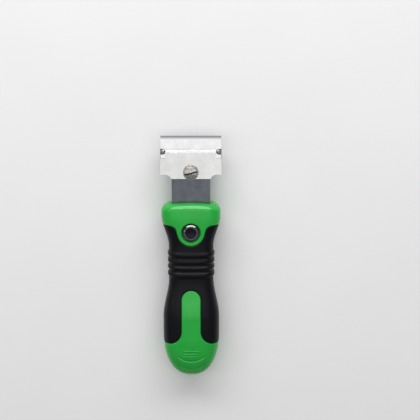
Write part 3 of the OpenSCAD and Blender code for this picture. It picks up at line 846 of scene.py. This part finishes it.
def addBlade():
    size = bladeSize
    (y0, y1), (z0, z1) = size["y"], size["z"]
    mid, half = (z0 + z1)/2, size["edge"]/2
    y = y1 - size["bevel"]
    profile = [(y0, z0), (y, z0), (y1, mid - half), (y1, mid + half), (y, z1), (y0, z1)]
    blade = addSideProfile("bladeStrip", profile, size["half"])
    under, over = size["cutZ"]
    x, y, r = size["notch"]
    for side in (-1, 1):
        ends = sorted((side*x, side*(x + size["mouth"])))
        tool = addRod("notch", side*x, y, under, over, r, 48)
        combine(tool, "UNION", addBlock("mouth", (ends[0], y - r, under), (ends[1], y + r, over)))
        combine(blade, "DIFFERENCE", tool)
    dress(blade, "bladeSteel", "groundSteelPaintedShade")
    # the ground bevel's faces take the finish that darkens towards the edge, painted shade
    for face in blade.data.polygons:
        if face.center.y > (y1 - size["bevel"])*mm and abs(face.normal.x) < 0.5:
            face.material_index = 1
    return blade


def addSpine():
    size = bladeSize
    (y0, y1), (z0, z1) = size["spineY"], size["spineZ"]
    bladeLow, bladeHigh = size["z"]
    spine = addSideProfile("bladeSpine", [(y0, z0), (y1, z0), (y1, z1), (y0, z1)], size["half"])
    pickEdges(spine, lambda a, b: max(a.y, b.y) < (y0 + 0.1)*mm and abs(a.x - b.x) > 0.01)
    bpy.ops.mesh.bevel(offset=size["fold"]*mm, segments=6, affect="EDGES")  # the round of the fold
    objectMode()
    back = (-size["cutX"], size["y"][0], bladeLow)
    combine(spine, "DIFFERENCE", addBlock("slit", back, (size["cutX"], size["cutY"], bladeHigh)))
    return softenEdges(spine, size["spineEdge"], 2, 40)


handOver(addBlade(), "carriage", "blade", "blade_steel")
handOver(addSpine(), "carriage", "blade_spine", "spine_steel", "spineSteel")

# Clamp: plate with a bent foot and lip, washer, slotted screw and nut
clampSize = {
    "rear": 51.65, "wideTo": 65.35, "half": 19.5, "lipHalf": 16.05, "front": 71.15,
    "shoulder": (16.5, 50.8, 4.2), "footZ": 12.85, "z": (13.7, 14.7), "lipZ": 13.15, "lipRun": 2.0,
    "screwY": 56.35, "holeR": 2.35, "cutZ": (10, 17), "over": 0.5, "plateEdge": 0.14,
    "washerR": 5.0, "washerZ": (14.7, 15.5), "washerEdge": 0.1, "washerRound": 0.25,
    "headR": 4.3, "headZ": (15.55, 18.15), "headCorner": 0.45, "domeHeight": 0.75, "headEdge": 0.2,
    "shankR": 2.0, "coreR": 1.68, "shankLow": 7.5, "shankTip": 0.2, "threadTop": 13.6, "plainFrom": 13.8,
    "pitch": 0.7, "slotWidth": 1.1, "slotDepth": 1.3, "slotTurn": 14.0, "slotLength": 12, "slotTall": 4,
    "nutFlats": 7.0, "nutZ": (8.0, 11.2), "nutBore": 2.05, "nutCutZ": (5, 14), "nutChamfer": (0.05, 0.5),
    "nutEdge": 0.1,
}


def addPlate():
    size = clampSize
    low, high = size["z"]
    t = high - low
    rear, front, run = size["rear"], size["front"], size["lipRun"]
    profile = [(rear, size["footZ"]), (rear + t, size["footZ"]), (rear + t, low), (front - run - t/2, low),
               (front - t/2, size["lipZ"]), (front, size["lipZ"] + t/2), (front - run, high),
               (rear + t/2, high), (rear, high - t/2)]
    plate = addSideProfile("clampPlate", profile, size["half"])
    x, y, r = size["shoulder"]
    back, side = rear - size["over"], size["half"] + size["over"]
    start = 90 + math.degrees(math.acos((back - y)/r))
    right = [(x + r*math.cos(math.radians(start)), back)] + arcSpots(x, y, r, start, 90, 20)
    right += [(side, y + r), (side, size["wideTo"])]
    right += [(size["lipHalf"], size["wideTo"]), (size["lipHalf"], front + 2*size["over"])]
    combine(plate, "INTERSECT", addPlan("plan", bothSides(right), *size["cutZ"]))
    combine(plate, "DIFFERENCE", addRod("hole", 0, size["screwY"], *size["cutZ"], size["holeR"]))
    return softenEdges(plate, size["plateEdge"], 3, 25)


def addWasher():
    size = clampSize
    low, high = size["washerZ"]
    r, hole, edge, turn = size["washerR"], size["holeR"], size["washerEdge"], size["washerRound"]
    profile = [(hole, low + edge), (hole + edge, low), (r - edge, low), (r, low + edge), (r, high - turn)]
    profile += arcSpots(r - turn, high - turn, turn, 0, 90, 5)
    profile += [(hole + edge, high), (hole, high - edge), (hole, low + edge)]
    return evenShading(addTurned("clampWasher", profile, 0, size["screwY"]))


def addClampScrew():
    size = clampSize
    low, high = size["headZ"]
    r, core, shank, foot = size["headR"], size["coreR"], size["shankR"], size["shankLow"]
    cornerR, edge, tip = size["headCorner"], size["headEdge"], size["shankTip"]
    cornerZ = high - size["domeHeight"] - cornerR
    profile = [(0, foot), (core - tip, foot)]
    profile += threadSpots(shank, core, foot + tip, size["threadTop"], size["pitch"])
    profile += [(shank, size["plainFrom"]), (shank, low), (r - edge, low), (r, low + edge), (r, cornerZ)]
    profile += arcSpots(r - cornerR, cornerZ, cornerR, 0, 60, 6)[1:]
    edgeR, edgeZ = profile[-1]
    profile += [(edgeR*(1 - i/10), edgeZ + (high - edgeZ)*math.sin(math.pi/2*i/10)) for i in range(1, 11)]
    screw = addTurned("clampScrew", profile, 0, size["screwY"])
    turn, floorZ = math.radians(size["slotTurn"]), high - size["slotDepth"]
    slotZ = floorZ + size["slotTall"]/2
    deselectAll()
    bpy.ops.mesh.primitive_cube_add(size=1, location=(0, size["screwY"]*mm, slotZ*mm), rotation=(0, 0, turn))
    bpy.context.object.scale = [size[key]*mm for key in ("slotLength", "slotWidth", "slotTall")]
    combine(screw, "DIFFERENCE", settle("slot"))
    dress(screw, "screwSteel", "slotPaintedShade")
    # the slot's faces take the near-black finish, painted shade inside the recess
    near = 0.01
    for face in screw.data.polygons:
        x, y, z = (c/mm for c in face.center)
        aside = abs((y - size["screwY"])*math.cos(turn) - x*math.sin(turn))
        face.material_index = int(z > floorZ - near and aside < size["slotWidth"]/2 + near)
    return evenShading(screw)


def addNut():
    size = clampSize
    low, high = size["nutZ"]
    reach = size["nutFlats"]/math.sqrt(3)
    deselectAll()
    middle = (0, size["screwY"]*mm, (low + high)/2*mm)
    bpy.ops.mesh.primitive_cylinder_add(vertices=6, radius=reach*mm, depth=(high - low)*mm, location=middle,
                                        rotation=(0, 0, math.pi/6))
    nut = settle("clampNut")
    side, fall = size["nutChamfer"]
    inner, outer = size["nutFlats"]/2 - side, reach + side
    cone = [(0, low), (inner, low), (outer, low + fall), (outer, high - fall), (inner, high), (0, high)]
    combine(nut, "INTERSECT", addTurned("cone", cone, 0, size["screwY"]))
    combine(nut, "DIFFERENCE", addRod("bore", 0, size["screwY"], *size["nutCutZ"], size["nutBore"]))
    return softenEdges(nut, size["nutEdge"], 2, 28)


handOver(addPlate(), "clamp", "clamp_plate", "plate_steel", "plateSteel")
handOver(addWasher(), "clamp", "clamp_washer", "screw_steel", "washerSteel")
handOver(addClampScrew(), "screw", "clamp_screw", "screw_steel")
handOver(addNut(), "carriage", "clamp_nut", "fastener_steel", "fastenerSteel")
print("metal parts: done")

# Camera at the photograph's angle: nearly overhead, leaning to the blade's end
viewpoint = {"place": (12.2, 212.1, 795.1), "lean": -13.0, "focal": 1251.0, "frame": 420.0, "sensor": 36.0}
deselectAll()
bpy.ops.object.camera_add(location=[c*mm for c in viewpoint["place"]],
                          rotation=(math.radians(viewpoint["lean"]), 0, 0))
camera = bpy.context.object
camera.data.sensor_width = viewpoint["sensor"]
camera.data.lens = viewpoint["focal"]/viewpoint["frame"]*viewpoint["sensor"]
bpy.context.scene.camera = camera

# Pale floor, soft lamps and an even world
studio = {
    "floor": (0.84, 0.84, 0.84), "floorSize": 20.0, "floorDrop": 0.0001, "floorCloud": 60, "floorLift": 1.02,
    "floorRoughness": 0.9, "floorShine": 0.1, "world": 0.24,
    "lamps": (  # name, place, target, width, depth, watts
        ("overheadLamp", (0, 0.13, 1.1), (0, 0.13, 0), 1.8, 0.8, 4.3),
        ("headLamp", (0, 0.993, 0.582), (0, 0.05, 0.015), 1.8, 0.4, 14.7),
        ("sideLamp", (-0.9, 0.12, 0.66), (0, 0, 0.01), 0.12, 0.25, 0.57),
    ),
}


def addLamp(name, place, target, width, depth, watts):
    deselectAll()
    bpy.ops.object.light_add(type="AREA", location=place)
    holder = bpy.context.object
    holder.name = holder.data.name = name
    holder.data.shape = "RECTANGLE"
    holder.data.size, holder.data.size_y, holder.data.energy = width, depth, watts
    aim = Vector(target) - Vector(place)
    holder.rotation_euler = aim.to_track_quat("-Z", "Y").to_euler()


for lamp in studio["lamps"]:
    addLamp(*lamp)

deselectAll()
bpy.ops.mesh.primitive_plane_add(size=studio["floorSize"], location=(0, 0, -studio["floorDrop"]))
floor = settle("floor")
floorFinish = newMaterial("floorFinish")
floorInputs = shaderOf(floorFinish).inputs
pale = studio["floor"]
paler = [c*studio["floorLift"] for c in pale]
floorShade = tint(floorFinish, patternOn(floorFinish, studio["floorCloud"], detail=2), pale, paler)
join(floorFinish, floorShade, floorInputs["Base Color"])
floorInputs["Roughness"].default_value = studio["floorRoughness"]
floorInputs["Specular IOR Level"].default_value = studio["floorShine"]
floor.data.materials.append(floorFinish)

world = bpy.data.worlds.new("studioWorld")
bpy.context.scene.world = world
world.use_nodes = True
background = world.node_tree.nodes["Background"]
background.inputs["Color"].default_value = (1, 1, 1, 1)
background.inputs["Strength"].default_value = studio["world"]
bpy.context.scene.view_settings.view_transform = "Standard"
print("studio: camera,", len(studio["lamps"]), "lamps, floor")
